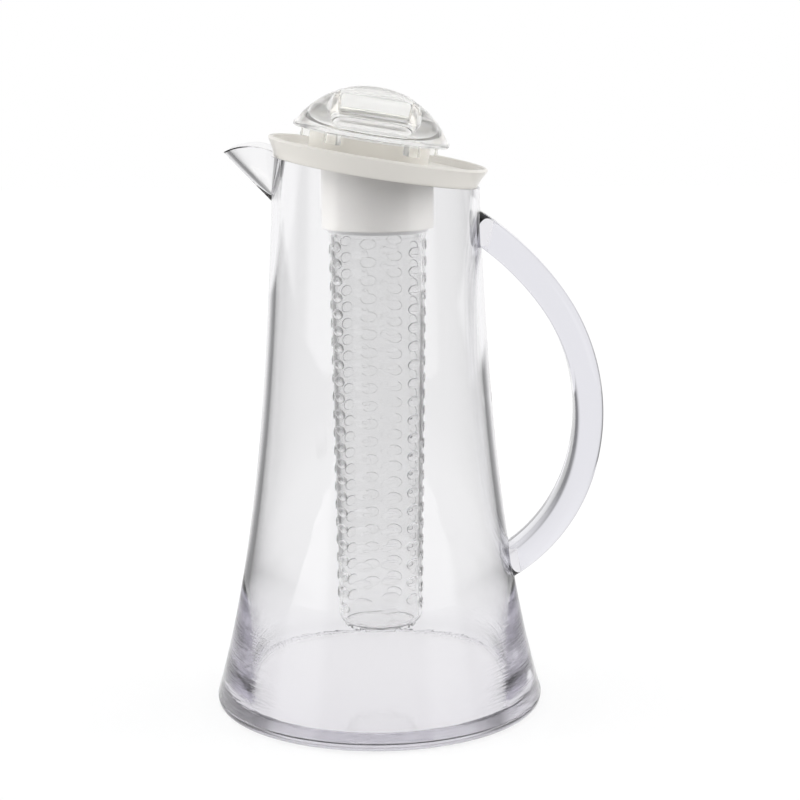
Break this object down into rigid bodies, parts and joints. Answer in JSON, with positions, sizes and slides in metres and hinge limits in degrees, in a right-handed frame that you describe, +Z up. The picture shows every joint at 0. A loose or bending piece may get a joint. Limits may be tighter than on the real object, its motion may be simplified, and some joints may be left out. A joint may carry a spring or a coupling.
{
  "type": "pitcher with ice core",
  "caption": "Clear flared pitcher with a spout and bow handle; its slanted white lid carries a clear dimpled ice tube and a domed filling knob.",
  "frame": {"origin": "centre of the flat underside of the base, which stands on the table", "axes": "+Z up along the jug's axis, +X towards the handle, -X towards the spout, +Y to the back as pictured"},
  "size_m": [0.1844, 0.156, 0.2926],
  "materials": {
    "jug_clear": "clear moulded acrylic, polished, with a faint violet cast",
    "base_clear": "clear moulded acrylic, polished",
    "handle_clear": "clear solid acrylic, polished",
    "lid_white": "moulded white plastic, satin gloss",
    "socket_white": "moulded white plastic, satin gloss",
    "knob_clear": "clear solid acrylic, polished",
    "seal_silicone": "translucent silicone, matt",
    "core_clear": "clear moulded plastic with a bumpy outside"
  },
  "bodies": {
    "jug": {"jug_body": "jug_clear", "base_disc": "base_clear", "handle": "handle_clear"},
    "lid": {"lid": "lid_white", "core_socket": "socket_white"},
    "knob_seal": {"knob_seal": "seal_silicone"},
    "knob": {"knob": "knob_clear"},
    "core_seal": {"core_seal": "seal_silicone"},
    "ice_core": {"ice_core": "core_clear"}
  },
  "joints": [
    {"name": "lid_lift", "type": "slide", "parent": "jug", "child": "lid", "axis": [0, 0, 1], "range_m": [0, 0.26]},
    {"name": "knob_lift", "type": "slide", "parent": "lid", "child": "knob_seal", "axis": [0.1616, 0, 0.9869], "range_m": [0, 0.03]},
    {"name": "knob_turn", "type": "hinge", "parent": "knob_seal", "child": "knob", "pos_m": [-0.00444, 0, 0.25433], "axis": [0.1616, 0, 0.9869], "range_deg": [0, 30]},
    {"name": "core_drop", "type": "slide", "parent": "lid", "child": "core_seal", "axis": [0, 0, -1], "range_m": [0, 0.015]},
    {"name": "core_turn", "type": "hinge", "parent": "core_seal", "child": "ice_core", "pos_m": [0.0008, 0, 0.227], "axis": [0, 0, 1], "range_deg": [0, 90]}
  ]
}
